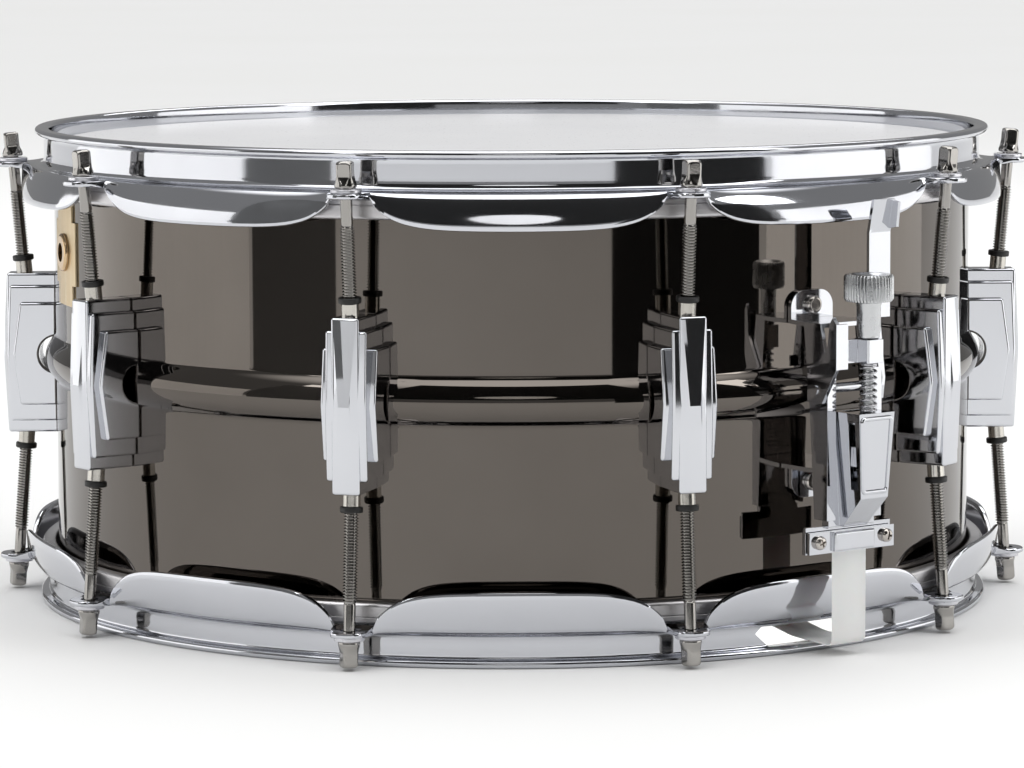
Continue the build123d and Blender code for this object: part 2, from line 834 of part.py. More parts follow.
def bracket_screw(level, seat):
    """A screw through a bracket and the shell, with its nut inside the drum."""
    with BuildPart() as fixing:
        add(screw_solid(level, seat, 172.5, 1, 3.4, 2.1, 2.2))
        with BuildSketch(facing(0).offset(inner_wall)):
            with Locations((0, level)):
                RegularPolygon(3.9, 6)
                Circle(2.15, mode=Mode.SUBTRACT)
        extrude(amount=-2.8)
    return fixing.part


with BuildPart() as bracket_screws:
    for level in strainer_screws:
        add(bracket_screw(level, ear_face + ear_thick), rotation=(0, 0, strainer_azimuth))
    for level in butt_screws:
        add(bracket_screw(level, ear_face + 2.2), rotation=(0, 0, butt_azimuth))
    add(clamp_screws_solid(butt_clamp_face, clamp_level), rotation=(0, 0, butt_azimuth))
save(bracket_screws.part, "bracket_screws")

# ---- snares under the bottom head ----
with BuildPart() as wires:
    with BuildSketch(Plane.XZ.offset(-wire_half)):
        with Locations((0, wire_level)):
            with GridLocations(wire_spacing, 1, wire_count, 1):
                Circle(wire_radius)
    extrude(amount=2 * wire_half)
with BuildPart() as snare_wires:
    add(wires.part, rotation=(0, 0, strainer_azimuth))
save(snare_wires.part, "snare_wires")
with BuildPart() as end_plates:
    for side in (-1, 1):
        with BuildSketch(Plane.XY.offset(middle - 85.5)):
            with Locations((0, side * (wire_half + end_plate_depth / 2 + 0.02))):
                RectangleRounded(end_plate_width, end_plate_depth, 2)
        extrude(amount=2.3)
with BuildPart() as snare_end_plates:
    add(end_plates.part, rotation=(0, 0, strainer_azimuth))
save(snare_end_plates.part, "snare_end_plates")
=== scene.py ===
from math import cos, exp, log, pi, radians, sin, sqrt

import bmesh
import bpy
from mathutils import Matrix, Vector


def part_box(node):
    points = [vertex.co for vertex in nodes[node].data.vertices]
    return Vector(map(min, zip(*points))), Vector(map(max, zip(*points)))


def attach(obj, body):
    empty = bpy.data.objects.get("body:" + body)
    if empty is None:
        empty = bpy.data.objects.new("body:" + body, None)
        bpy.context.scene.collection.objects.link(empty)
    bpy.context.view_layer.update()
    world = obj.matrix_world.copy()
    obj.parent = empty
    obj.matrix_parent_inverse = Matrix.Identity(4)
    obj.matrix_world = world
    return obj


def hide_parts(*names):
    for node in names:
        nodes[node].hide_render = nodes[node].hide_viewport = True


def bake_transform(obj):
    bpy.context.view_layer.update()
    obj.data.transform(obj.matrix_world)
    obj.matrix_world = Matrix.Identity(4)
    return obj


# A 14 x 6.5 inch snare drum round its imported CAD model. Shapes are written in millimetres and
# turned into metres as each mesh is made. Azimuth 0 is the front, at -Y, and azimuths grow
# towards +X; "rel" heights are measured from the shell's centre bead.
MM = 0.001

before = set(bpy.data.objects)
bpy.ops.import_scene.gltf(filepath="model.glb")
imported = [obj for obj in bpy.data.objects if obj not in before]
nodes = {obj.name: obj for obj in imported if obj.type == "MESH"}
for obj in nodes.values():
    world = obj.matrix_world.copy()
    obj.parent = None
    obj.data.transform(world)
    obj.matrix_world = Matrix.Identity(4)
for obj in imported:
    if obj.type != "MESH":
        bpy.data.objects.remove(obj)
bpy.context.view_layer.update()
scene = bpy.context.scene


# ---- driving dimensions, mm ----
def top_of(node):
    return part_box(node)[1].z / MM


def foot_of(node):
    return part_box(node)[0].z / MM


middle = (top_of("shell") + foot_of("shell")) / 2
shell_top = top_of("shell")
shell_bottom = foot_of("shell")
shell_radius = 177.8
shell_wall = 1.2
bead_height = 4.2
bead_half = 8.5
lug_count = 10
first_lug = 18.0
lug_azimuths = [first_lug + 360 / lug_count * number for number in range(lug_count)]
badge_azimuth = -72.0
strainer_azimuth = 36.0
butt_azimuth = strainer_azimuth - 180
vent_level = middle + 43.5

batter_ears = middle + 74.6
snare_ears = middle - 81.3
ear_circle = 194.2
rod_lean = 4.2                # how far a rod leans in between its ear and its nut
nut_level = 26.0
knob_axis = 210.2


# ---- small mesh tools ----
def spot(azimuth, radius, height):
    angle = radians(azimuth)
    return Vector((radius * sin(angle), -radius * cos(angle), height))


def turned_to(azimuth):
    """Turns a piece that is drawn at azimuth 0, in millimetres, to its place."""
    return Matrix.Rotation(radians(azimuth), 4, "Z")


def mesh_piece(name, points, faces, material, sharp=38, place=None):
    """A piece from points in millimetres; edges that turn more than sharp degrees stay crisp."""
    mesh = bpy.data.meshes.new(name)
    mesh.from_pydata([tuple(Vector(p) * MM) for p in points], [], faces)
    work = bmesh.new()
    work.from_mesh(mesh)
    bmesh.ops.remove_doubles(work, verts=work.verts, dist=1e-7)
    bmesh.ops.recalc_face_normals(work, faces=work.faces)
    work.to_mesh(mesh)
    work.free()
    mesh.shade_smooth()
    mesh.set_sharp_from_angle(angle=radians(sharp))
    mesh.materials.append(material)
    piece = bpy.data.objects.new(name, mesh)
    scene.collection.objects.link(piece)
    if place is not None:
        piece.matrix_world = place
    return piece


def grid_faces(rows, columns, close_rows, close_columns):
    faces = []
    for i in range(rows if close_rows else rows - 1):
        for j in range(columns if close_columns else columns - 1):
            below, beside = (i + 1) % rows, (j + 1) % columns
            faces.append(
                (
                    i * columns + j,
                    i * columns + beside,
                    below * columns + beside,
                    below * columns + j,
                )
            )
    return faces


def arc(centre, radius, start, end, steps):
    """Points of a round stretch of an outline, angles in degrees."""
    return [
        (
            centre[0] + radius * cos(radians(start + (end - start) * k / steps)),
            centre[1] + radius * sin(radians(start + (end - start) * k / steps)),
        )
        for k in range(steps + 1)
    ]


def circle(radius, steps):
    return [
        (radius * cos(2 * pi * k / steps), radius * sin(2 * pi * k / steps)) for k in range(steps)
    ]


def ring_piece(name, outline_at, azimuths, material, sharp=38):
    """A closed ring round the drum; outline_at(azimuth) is its closed (radius, height) outline."""
    points = []
    for azimuth in azimuths:
        outline = outline_at(azimuth)
        points += [spot(azimuth, radius, height) for radius, height in outline]
    faces = grid_faces(len(azimuths), len(outline), True, True)
    return mesh_piece(name, points, faces, material, sharp)


def round_piece(name, outline, material, steps=360, sharp=38):
    azimuths = [360 * k / steps for k in range(steps)]
    return ring_piece(name, lambda azimuth: outline, azimuths, material, sharp)


def lathe(outline, steps, centre=(0, 0), shape=None):
    """Points and faces of a turned piece along z; shape(angle, radius, height) may reshape it."""
    points = []
    for k in range(steps):
        angle = 2 * pi * k / steps
        for radius, height in outline:
            out = shape(angle, radius, height) if shape else radius
            points.append((centre[0] + out * cos(angle), centre[1] + out * sin(angle), height))
    return points, grid_faces(steps, len(outline), True, False)


def tube(path, radius, sides):
    """Points and faces of a wire along a path, with closed ends."""
    points = []
    for k, here in enumerate(path):
        ahead = path[min(k + 1, len(path) - 1)] - path[max(k - 1, 0)]
        ahead.normalize()
        across = ahead.cross(Vector((0.13, 0.21, 0.97))).normalized()
        other = ahead.cross(across)
        for side in range(sides):
            angle = 2 * pi * side / sides
            points.append(here + across * radius * cos(angle) + other * radius * sin(angle))
    faces = grid_faces(len(path), sides, False, True)
    faces.append(tuple(range(sides)))
    faces.append(tuple(range(len(points) - sides, len(points))))
    return points, faces


def joined(*meshes):
    """Several (points, faces) as one."""
    points, faces = [], []
    for more_points, more_faces in meshes:
        start = len(points)
        points += list(more_points)
        faces += [tuple(start + corner for corner in face) for face in more_faces]
    return points, faces


def moved(mesh, matrix):
    return [matrix @ Vector(p) for p in mesh[0]], mesh[1]


def cut(piece, cutters):
    """Cuts closed shapes, given as (points, faces), out of a piece."""
    points, faces = joined(*cutters)
    tool = mesh_piece(piece.name + "_cutter", points, faces, piece.data.materials[0])
    made = piece.modifiers.new("cut", "BOOLEAN")
    made.operation = "DIFFERENCE"
    made.solver = "EXACT"
    made.object = tool
    bpy.context.view_layer.update()
    shape = bpy.data.meshes.new_from_object(
        piece.evaluated_get(bpy.context.evaluated_depsgraph_get())
    )
    piece.modifiers.remove(made)
    piece.data = shape
    shape.set_sharp_from_angle(angle=radians(38))
    bpy.data.objects.remove(tool)


def prism(outline, matrix, depth):
    """A closed prism from a flat (x, y) outline, with matrix placing z = 0 to depth."""
    count = len(outline)
    points = [matrix @ Vector((x, y, z)) for z in (0, depth) for x, y in outline]
    faces = [tuple(range(count)), tuple(range(count, 2 * count))]
    for k in range(count):
        beside = (k + 1) % count
        faces.append((k, beside, count + beside, count + k))
    return points, faces


# ---- materials ----
noise_range = (0.3, 0.7)      # the noise values that are spread over a whole range
cloud_scale = 14              # the clouds in a metal's tint, per metre
haze_scale = 22               # and the haze in a plastic's
grain_depth = 0.0002          # metres


class Recipe:
    """A Principled material with its own small node tree."""

    def __init__(self, name, **sockets):
        self.material = bpy.data.materials.new(name)
        self.material.use_nodes = True
        self.tree = self.material.node_tree
        self.shader = self.tree.nodes["Principled BSDF"]
        for socket, value in sockets.items():
            self.shader.inputs[socket.replace("_", " ")].default_value = value
        self.place = self.tree.nodes.new("ShaderNodeTexCoord").outputs["Object"]

    def noise(self, scale, detail=3.0, stretch=(1, 1, 1)):
        mapping = self.tree.nodes.new("ShaderNodeMapping")
        mapping.inputs["Scale"].default_value = stretch
        self.tree.links.new(self.place, mapping.inputs["Vector"])
        noise = self.tree.nodes.new("ShaderNodeTexNoise")
        noise.inputs["Scale"].default_value = scale
        noise.inputs["Detail"].default_value = detail
        self.tree.links.new(mapping.outputs["Vector"], noise.inputs["Vector"])
        return noise.outputs["Fac"]

    def ranged(self, value, low, high):
        node = self.tree.nodes.new("ShaderNodeMapRange")
        node.inputs["From Min"].default_value = noise_range[0]
        node.inputs["From Max"].default_value = noise_range[1]
        node.inputs["To Min"].default_value = low
        node.inputs["To Max"].default_value = high
        self.tree.links.new(value, node.inputs["Value"])
        return node.outputs["Result"]

    def tint(self, value, one, other):
        """Base colour between two colours."""
        node = self.tree.nodes.new("ShaderNodeMix")
        node.data_type = "RGBA"
        node.inputs["A"].default_value = (*one, 1)
        node.inputs["B"].default_value = (*other, 1)
        self.tree.links.new(value, node.inputs["Factor"])
        self.tree.links.new(node.outputs["Result"], self.shader.inputs["Base Color"])

    def rough(self, value, low, high):
        self.tree.links.new(self.ranged(value, low, high), self.shader.inputs["Roughness"])

    def bump(self, value, strength, distance):
        node = self.tree.nodes.new("ShaderNodeBump")
        node.inputs["Strength"].default_value = strength
        node.inputs["Distance"].default_value = distance
        self.tree.links.new(value, node.inputs["Height"])
        self.tree.links.new(node.outputs["Normal"], self.shader.inputs["Normal"])


def metal(name, one, other, smooth, dull, grain, strength, stretch=(1, 1, 1)):
    """Plated or bare metal: cloudy tint, uneven polish, and a fine grain in its surface."""
    recipe = Recipe(name, Metallic=1.0)
    recipe.tint(recipe.ranged(recipe.noise(cloud_scale, 4), 0, 1), one, other)
    recipe.rough(recipe.noise(grain * 0.2, 4, stretch), smooth, dull)
    recipe.bump(recipe.noise(grain, 3, stretch), strength, grain_depth)
    return recipe.material


def plastic(name, one, other, smooth, dull, grain, strength, **more):
    """Plastic: a faint haze in its tint, uneven polish and a fine grain."""
    recipe = Recipe(name, **more)
    recipe.tint(recipe.ranged(recipe.noise(haze_scale, 4), 0, 1), one, other)
    recipe.rough(recipe.noise(grain * 0.3, 4), smooth, dull)
    recipe.bump(recipe.noise(grain, 4), strength, grain_depth)
    return recipe.material


black_nickel = metal(
    "black_nickel_plate", (0.132, 0.118, 0.106), (0.116, 0.103, 0.092), 0.015, 0.05, 45, 0.012
)
hoop_chrome = metal(
    "hoop_chrome_plate", (0.61, 0.62, 0.655), (0.56, 0.57, 0.605), 0.03, 0.09, 260, 0.03,
    stretch=(1, 1, 0.12),
)
lug_chrome = metal(
    "lug_chrome_plate", (0.64, 0.65, 0.68), (0.58, 0.59, 0.62), 0.03, 0.08, 90, 0.03
)
strainer_chrome = metal(
    "strainer_chrome_plate", (0.61, 0.62, 0.65), (0.55, 0.56, 0.59), 0.03, 0.10, 120, 0.04
)
knurled_chrome = metal(
    "knurled_chrome_plate", (0.60, 0.61, 0.62), (0.52, 0.53, 0.54), 0.18, 0.34, 900, 0.2
)
rod_nickel = metal(
    "rod_nickel_plate", (0.40, 0.385, 0.365), (0.31, 0.30, 0.285), 0.07, 0.17, 500, 0.08
)
nut_nickel = metal(
    "nut_nickel_plate", (0.58, 0.56, 0.52), (0.48, 0.46, 0.42), 0.12, 0.26, 500, 0.12
)
washer_zinc = metal(
    "washer_zinc_plate", (0.70, 0.70, 0.73), (0.58, 0.58, 0.62), 0.22, 0.42, 900, 0.2
)
inner_steel = metal(
    "inner_bright_steel", (0.50, 0.50, 0.50), (0.40, 0.40, 0.40), 0.25, 0.45, 600, 0.2
)
screw_nickel = metal(
    "screw_nickel_plate", (0.56, 0.53, 0.50), (0.45, 0.42, 0.39), 0.12, 0.28, 600, 0.12
)
badge_brass = metal(
    "badge_brushed_brass", (0.66, 0.53, 0.34), (0.56, 0.43, 0.25), 0.26, 0.42, 1600, 0.3,
    stretch=(1, 1, 0.04),
)
grommet_brass = metal(
    "grommet_polished_brass", (0.62, 0.45, 0.27), (0.50, 0.35, 0.20), 0.14, 0.26, 500, 0.1
)
flesh_aluminium = metal(
    "flesh_hoop_aluminium", (0.60, 0.59, 0.60), (0.50, 0.49, 0.50), 0.25, 0.42, 900, 0.2,
    stretch=(0.1, 0.1, 1),
)
spring_wire = metal(
    "spring_wire_steel", (0.52, 0.52, 0.54), (0.40, 0.40, 0.42), 0.14, 0.30, 900, 0.1
)
snare_wire = metal(
    "snare_wire_steel", (0.62, 0.62, 0.62), (0.48, 0.48, 0.48), 0.16, 0.30, 900, 0.1
)
end_plate_steel = metal(
    "end_plate_nickel_steel", (0.58, 0.57, 0.55), (0.48, 0.47, 0.45), 0.20, 0.36, 700, 0.15
)
nylon = plastic(
    "ring_black_nylon", (0.004, 0.004, 0.004), (0.009, 0.009, 0.008), 0.38, 0.55, 1400, 0.2
)
head_white = plastic(
    "head_white_film", (0.76, 0.76, 0.77), (0.725, 0.725, 0.74), 0.27, 0.36, 2600, 0.018,
    Coat_Weight=0.15, Coat_Roughness=0.2,
)
head_hazy = plastic(
    "head_hazy_film", (0.72, 0.73, 0.74), (0.66, 0.67, 0.68), 0.22, 0.34, 1500, 0.05,
    Transmission_Weight=0.55, IOR=1.35,
)
strap_white = plastic(
    "strap_white_plastic", (0.86, 0.86, 0.85), (0.80, 0.80, 0.79), 0.30, 0.44, 1200, 0.12,
    Subsurface_Weight=0.08, Subsurface_Scale=0.002,
)


# ---- shell: one sheet with a centre bead and turned-in bearing edges ----
bead_ease = 0.32              # how softly the bead meets the wall
bead_zone = 13.0              # half the height drawn in fine steps for the bead
edge_round = 1.8
edge_straight = 3.0           # from a bearing edge to where the plain wall starts
edge_turn_in = 5.0
vent_radius = 4.9
vent_bore = 24.0


def bead(rel):
    """How far the shell stands out near its middle: a round bead that eases into the wall."""
    rise = bead_height * (1 - (rel / bead_half) ** 2)
    settled = 30                  # from here on the easing adds nothing
    if rise / bead_ease >= settled:
        return rise
    return bead_ease * log(1 + exp(rise / bead_ease))


def shell_outline():
    half = shell_top - middle
    plain = half - edge_straight - bead_zone
    levels = [half - edge_straight - k * plain / 6 for k in range(6)]
    levels += [bead_zone - 2 * bead_zone * k / 64 for k in range(65)]
    levels += [-level for level in reversed(levels[:6])]
    outer = [(shell_radius + bead(rel), middle + rel) for rel in levels]
    lower = arc((shell_radius - edge_round, shell_bottom + edge_round), edge_round, 0, -90, 6)
    lip_at = shell_radius - edge_turn_in
    lip = [(lip_at, shell_bottom + 1.6), (lip_at, shell_bottom + 2.9)]
    inner_corner = (shell_radius - edge_round - 0.6, shell_bottom + shell_wall + 0.6)
    inner_low = [inner_corner, (shell_radius - shell_wall, shell_bottom + edge_straight)]
    inner = [(radius - shell_wall, height) for radius, height in reversed(outer)]
    below = lower + lip + inner_low
    above = [(radius, 2 * middle - height) for radius, height in reversed(below)]
    return outer + below + inner + above


shell = round_piece("shell_sheet", shell_outline(), black_nickel, steps=480, sharp=50)
vent = Matrix.Translation((0, 0, vent_level)) @ Matrix.Rotation(pi / 2, 4, "X")
vent_start = Matrix.Translation((0, 0, shell_radius - vent_bore / 2))
vent_cutter = prism(circle(vent_radius, 48), vent_start, vent_bore)
cut(shell, [moved(vent_cutter, turned_to(badge_azimuth) @ vent)])
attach(shell, "shell")
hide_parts("shell")

# ---- hoops: rolled rim, upright wall, ten lobes and ten ears ----
hoop_inner = 179.3
hoop_outer = 181.5
hoop_rim = 185.0
rim_height = 2.8
ear_reach = 201.0
lobe_radius = 190.3
flange_start = 184.2
hoop_sheet = 1.9
ear_half = 7.3
ear_power = 2.6               # an ear's end: 2 is an ellipse, more is squarer
ear_hole = 3.3
ear_bore = 12.0
ear_flat = 5.2                # from an ear's middle to where its side starts to fall
fall_start = 0.07             # the share of a lobe over which the fall sets in
fall_rate = 6.3               # how soon a lobe reaches its full depth
bowl_sweep = 72.0             # degrees of the ellipse that a lobe's bowl follows
bowl_least = 0.8
edge_bulge = 0.32             # how round the sheet's edge is
rim_neck = 0.9                # radius between the rolled rim and the wall
flange_round = 2.7            # radius between the wall and the ears
hoop_angle = 190.0            # one millimetre along the hoop is 1 / 190 radian
half_pitch = pi / lug_count * hoop_angle


def hoop_offsets():
    """Distances along the hoop from an ear's middle, close together round the ear's side."""
    ear = [ear_half * sin(radians(90) * k / 17) for k in range(18)]
    neck = [ear_half + 0.7 * k for k in range(1, 19)]
    last = neck[-1]
    lobe = [last + (half_pitch - last) * k / 15 for k in range(1, 16)]
    half = ear + neck + lobe
    return [-along for along in reversed(half[1:-1])] + half


def hoop_outline(along, ears, up, rise, drop):
    """The hoop's closed outline this far from an ear; up is 1 where the rim is above the ears."""
    away = abs(along)
    past = max(0.0, away - ear_flat)
    share = min(1.0, past / (half_pitch - ear_flat))
    start = min(1.0, share / fall_start)
    fall = drop * (1 - exp(-fall_rate * share)) * start * start * (3 - 2 * start)
    tongue = sqrt(max(0.0, 1 - (away / ear_half) ** ear_power))
    reach = lobe_radius + (ear_reach - lobe_radius) * tongue
    # the bowl of a lobe is a stretch of an ellipse that starts level and stops short of upright
    bowl = bowl_least + (reach - flange_start - bowl_least) * fall / drop
    path = [(flange_start, 0.0), (reach - bowl, 0.0)]
    for k in range(1, 13):
        turn = radians(bowl_sweep) * k / 12
        path.append(
            (
                reach - bowl + bowl * sin(turn) / sin(radians(bowl_sweep)),
                -fall * (1 - cos(turn)) / (1 - cos(radians(bowl_sweep))),
            )
        )
    normals = [(0.0, 1.0)]
    for k in range(1, len(path)):
        ahead = path[min(k + 1, len(path) - 1)]
        along_x = ahead[0] - path[k - 1][0]
        along_y = ahead[1] - path[k - 1][1]
        size = sqrt(along_x**2 + along_y**2) or 1.0
        normals.append((-along_y / size, along_x / size))
    inner = [(x - n[0] * hoop_sheet, y - n[1] * hoop_sheet) for (x, y), n in zip(path, normals)]
    tip, under, lead = path[-1], inner[-1], normals[-1]
    centre = ((tip[0] + under[0]) / 2, (tip[1] + under[1]) / 2)
    edge = []
    for turn in (45, 90, 135):
        share_out = cos(radians(turn)) / 2
        bulge = edge_bulge * hoop_sheet * sin(radians(turn))
        edge.append(
            (
                centre[0] + lead[0] * hoop_sheet * share_out + lead[1] * bulge,
                centre[1] + lead[1] * hoop_sheet * share_out - lead[0] * bulge,
            )
        )
    rim_middle = rise - rim_height / 2
    half = rim_height / 2
    rim = arc((hoop_inner + half, rim_middle), half, 180, 90, 6)
    rim += arc((hoop_rim - half, rim_middle), half, 90, -90, 10)
    neck = arc((hoop_outer + rim_neck, rim_middle - half - rim_neck), rim_neck, 90, 180, 4)
    wall = [(hoop_outer, rim_middle - half - 1 - k * (rise - 8) / 3) for k in (0.4, 1, 2, 3)]
    foot = arc((flange_start, flange_round), flange_round, 180, 270, 6)
    back = [(hoop_inner, 1.2), (hoop_inner, rise * 0.35), (hoop_inner, rise * 0.6)]
    heel = [(flange_start - 2.2, -hoop_sheet), (hoop_inner + 0.9, -hoop_sheet + 0.9)]
    under_side = list(reversed(inner[1:]))
    outline = rim + neck + wall + foot + path[1:] + edge + under_side + heel + back
    return [(radius, ears + up * height) for radius, height in outline]


def hoop_piece(name, ears, up, rise, drop):
    """A hoop without its holes, and the cutters for the holes in its ears."""
    offsets = {}
    for lug_azimuth in lug_azimuths:
        for along in hoop_offsets():
            offsets[lug_azimuth + along / hoop_angle * 180 / pi] = along
    piece = ring_piece(
        name,
        lambda azimuth: hoop_outline(offsets[azimuth], ears, up, rise, drop),
        list(offsets),
        hoop_chrome,
        sharp=52,
    )
    place = Matrix.Translation((0, -ear_circle, ears - ear_bore / 2))
    cutters = [
        prism(circle(ear_hole, 32), turned_to(lug_azimuth) @ place, ear_bore)
        for lug_azimuth in lug_azimuths
    ]
    return piece, cutters


batter_rise, batter_drop = 14.3, 12.8
snare_drop = 15.4
batter_hoop, batter_holes = hoop_piece(
    "batter_hoop_sheet", batter_ears, 1, batter_rise, batter_drop
)
cut(batter_hoop, batter_holes)
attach(batter_hoop, "batter_hoop")
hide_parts("batter_hoop")

# the bottom hoop stands on the floor, so its rim is as far below its ears as they are high
snare_hoop, snare_holes = hoop_piece("snare_hoop_sheet", snare_ears, -1, snare_ears, snare_drop)
gate_foot = snare_ears - 9.5
gate_head = snare_ears - 2.0
gate_shoulder = gate_head - 2.4
gate_head_half, gate_half, gate_foot_half = 23.5, 26.0, 20.5
gate_cut_start, gate_cut_depth = 170.0, 25.0
gate_outline = [(-gate_head_half, gate_head), (gate_head_half, gate_head)]
gate_outline += [(gate_half, gate_shoulder), (gate_foot_half, gate_foot)]
gate_outline += [(-gate_foot_half, gate_foot), (-gate_half, gate_shoulder)]
upright = Matrix.Translation((0, -gate_cut_start, 0)) @ Matrix.Rotation(pi / 2, 4, "X")
gates = [
    prism(gate_outline, turned_to(azimuth) @ upright, gate_cut_depth)
    for azimuth in (strainer_azimuth, butt_azimuth)
]
cut(snare_hoop, snare_holes + gates)
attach(snare_hoop, "snare_hoop")
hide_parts("snare_hoop")


# ---- heads and their flesh hoops ----
film = 0.35
film_flat = 0.2               # the upper face's level at the middle
film_sink = 0.05              # how far the film is let into the bearing edge
crown_round = 3.2
crown_level = -3.0            # the centre of that round
collar_gap = 0.15             # between the shell's side and the collar
film_rings = (0.5, 60, 120, 160)
batter_collar, snare_collar = 11.5, 3.4


def head_outline(edge, up, foot):
    """A film from its centre over the bearing edge and down its collar."""
    outside = shell_radius + collar_gap + film
    turn = outside - crown_round
    crown = arc((turn, crown_level), crown_round, 90, 0, 8)
    skin = [(radius, film_flat) for radius in film_rings] + crown + [(outside, -foot)]
    lower = [(outside - film, -foot)] + [
        (
            radius - film * (radius - turn) / crown_round,
            height - film * (height - crown_level) / crown_round,
        )
        for radius, height in reversed(crown)
    ]
    lower += [(radius, film_flat - film) for radius in reversed(film_rings)]
    return [(radius, edge + up * (height + film - film_sink)) for radius, height in skin + lower]


for name, edge, up, foot, material in (
    ("batter_film", shell_top, 1, batter_collar, head_white),
    ("snare_film", shell_bottom, -1, snare_collar, head_hazy),
):
    head = round_piece(name + "_skin", head_outline(edge, up, foot), material, steps=240)
    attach(head, "shell")
    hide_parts(name)


flesh_inner, flesh_outer = 178.9, 184.0
flesh_height = 7.6
flesh_gap = 2.45              # from the ears' face to the channel's


def flesh_outline(inner, outer, face, up, height):
    """An aluminium channel: square at its face, rounded where it shows, with a rolled line."""
    outline = [(inner, 0), (outer - 0.8, 0), (outer, -0.8), (outer, -2.2), (outer - 0.35, -2.5)]
    outline += [(outer, -2.8)] + arc((outer - 1.4, -height + 1.4), 1.4, 0, -90, 6)
    outline += arc((inner + 0.8, -height + 0.8), 0.8, -90, -180, 3)
    return [(radius, face + up * rel) for radius, rel in outline]


for side, ears, up in (("batter", batter_ears, 1), ("snare", snare_ears, -1)):
    outline = flesh_outline(flesh_inner, flesh_outer, ears - up * flesh_gap, up, flesh_height)
    flesh = round_piece(side + "_flesh_channel", outline, flesh_aluminium, steps=300)
    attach(flesh, side + "_hoop")
    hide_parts(side + "_flesh_hoop")


# ---- tension rods ----
rod_under = 1.95              # from the ear's face to the underside of the collar
rod_reach = 57.0
head_top = 9.3                # above the collar's underside
head_half = 2.8
arch_top = 4.4                # the head's flats run out below this
chamfer_foot = 8.7            # its top chamfer starts here
shank_length = 12.5
thread_pitch = 1.058
thread_crest = 2.6
thread_root = 1.95
core_radius = 1.97            # a little over the root, so that no gap shows between the turns
runout_length = 2.0           # over which the thread grows, below the shank
tip_chamfer = 1.6             # over which it fades, at the tip
tip_past = 1.2                # how much of that lies past the tip


def rod_head_shape(angle, radius, height):
    """A square head whose flats run out in arches on the collar's cone."""
    low = max(0.0, arch_top - (height - rod_under))
    flat = head_half - max(0.0, height - rod_under - chamfer_foot) * 0.5 + 0.16 * low**2
    return min(radius, flat / max(abs(cos(angle)), abs(sin(angle))))


def helix_thread(top, bottom, steps):
    """A screw thread along z, from its runout near the shank to its chamfered tip."""
    turns = (top - bottom) / thread_pitch
    profile = ((0.0, 0.0), (0.3, 1.0), (0.45, 1.0), (0.8, 0.0))
    points = []
    total = int(turns * steps)
    for k in range(total + 1):
        angle = 2 * pi * k / steps
        for part, crest in profile:
            height = top - (k / steps + part) * thread_pitch
            fade = max(0.0, height - bottom + tip_past) / tip_chamfer
            ends = min(1.0, (top - height) / runout_length, fade)
            radius = thread_root + (thread_crest - thread_root) * crest * max(0.0, ends)
            points.append((radius * cos(angle), radius * sin(angle), height))
    columns = len(profile)
    faces = grid_faces(total + 1, columns, False, False)
    for k in range(total - steps):
        faces.append(
            (
                k * columns + columns - 1,
                (k + steps) * columns,
                (k + 1 + steps) * columns,
                (k + 1) * columns + columns - 1,
            )
        )
    return points, faces


def rod_mesh():
    """A rod in its own frame: the origin on the ear's face, z along the rod, out of the drum."""
    base = rod_under
    head = [(0.0, base + head_top), (2.2, base + head_top)]
    for k in range(1, 6):
        rounding = 0.9 * (1 - sin(radians(90) * k / 5))
        head.append((3.5 - rounding, base + head_top - 1.3 * k / 5))
    head += [(3.52, base + 7 - 0.45 * k) for k in range(1, 9)]
    head += [(3.55, base + 2.9), (3.62, base + 2.3), (3.75, base + 1.7), (3.9, base + 1.3)]
    collar = [(3.95, base + 0.9), (3.95, base + 0.4), (3.7, base), (2.15, base)]
    square_head = lathe(head + collar, 64, shape=rod_head_shape)
    shank_foot = base - shank_length
    shank = lathe([(2.15, base + 0.1), (2.15, shank_foot), (2.05, shank_foot - 0.8)], 32)
    thread = helix_thread(shank_foot, base - rod_reach, 20)
    tip = base - rod_reach
    core_outline = [(core_radius, shank_foot - 0.2), (core_radius, tip + 1.4), (1.7, tip)]
    core = lathe(core_outline + [(0.0, tip)], 24)
    return joined(square_head, shank, core, thread)


rod_points, rod_faces = rod_mesh()
rod_shape = None
upper_turns = (3, -8, 12, -4, 6, 3, -8, 12, -4, 6)          # how each square head stands, degrees
lower_turns = (-11, 26, 63, 10, 47, 84, 31, 68, 15, 52)
for side, ears, up, turns in (
    ("batter", batter_ears, 1, upper_turns),
    ("snare", snare_ears, -1, lower_turns),
):
    along = Vector((0, -rod_lean, ears - middle - up * nut_level)).normalized()
    across = Vector((1, 0, 0))
    other = along.cross(across)
    lean = Matrix((across, other, along)).transposed().to_4x4()
    origin = Matrix.Translation((0, -ear_circle * MM, ears * MM))
    for number, lug_azimuth in enumerate(lug_azimuths):
        name = f"{side}_rod_{number + 1:02d}"
        turn = Matrix.Rotation(radians(turns[number]), 4, "Z")
        place = turned_to(lug_azimuth) @ origin @ lean @ turn
        if rod_shape is None:
            rod = mesh_piece(name + "_screw", rod_points, rod_faces, rod_nickel, 42, place)
            rod_shape = rod.data
        else:
            rod = bpy.data.objects.new(name + "_screw", rod_shape)
            scene.collection.objects.link(rod)
            rod.matrix_world = place
        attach(rod, name)
        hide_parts(name)

# ---- strainer: adjusting screw, its spring, and the strap ----
strainer_turn = turned_to(strainer_azimuth)
knob_foot = middle + 34.6
knob_top = middle + 44.3
knob_radius = 8.85
knurls = 42
knurl_depth = 0.62
knurled_from = 8.3            # radii below this stay round
stem_foot = middle + 21.4
screw_tip = middle - 28.0
screw_share = 0.77            # the adjusting screw's thickness against a tension rod's


def knurl(angle, radius, height):
    """Vertical ridges on the knob's side."""
    if radius < knurled_from:
        return radius
    wave = abs(sin(angle * (knurls / 2)))
    return radius - knurl_depth * (1 - wave**0.7)


